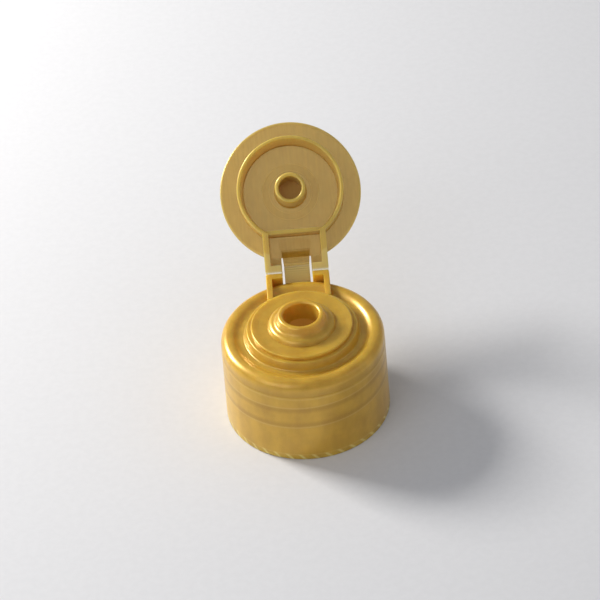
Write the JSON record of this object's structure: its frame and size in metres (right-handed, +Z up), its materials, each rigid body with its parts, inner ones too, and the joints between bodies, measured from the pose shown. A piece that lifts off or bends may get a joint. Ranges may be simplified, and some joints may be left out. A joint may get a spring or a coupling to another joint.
{
  "type": "flip top cap",
  "caption": "Flip top dispensing closure with a screw skirt, a central spout and a hinged lid shown open on its snap hinge.",
  "frame": {"origin": "centre of the closure's open mouth, in the plane of the bottom rim", "axes": "+Z up along the closure's own axis, through the spout; +Y from the spout towards the hinge; +X to the right seen from the front"},
  "size_m": [0.0274, 0.0503, 0.0335],
  "materials": {
    "base_shell": "pearlescent satin, slightly translucent",
    "lid_shell": "pearlescent satin, translucent where thin",
    "hinge_film": "thin translucent film"
  },
  "bodies": {
    "base": {"closure_base": "base_shell"},
    "lid": {"lid": "lid_shell"},
    "strap": {"spring_strap": "hinge_film"}
  },
  "joints": [
    {"name": "lid_hinge", "type": "hinge", "parent": "base", "child": "lid", "pos_m": [0, 0.01415, 0.01715], "axis": [1, 0, 0], "range_deg": [0, 134.7]},
    {"name": "strap_hinge", "type": "hinge", "parent": "base", "child": "strap", "pos_m": [0, 0.01311, 0.01533], "axis": [1, 0, 0], "range_deg": [0, 67.35]}
  ],
  "couplings": [
    {"joint": "strap_hinge", "follows": "lid_hinge", "ratio": 0.5}
  ]
}
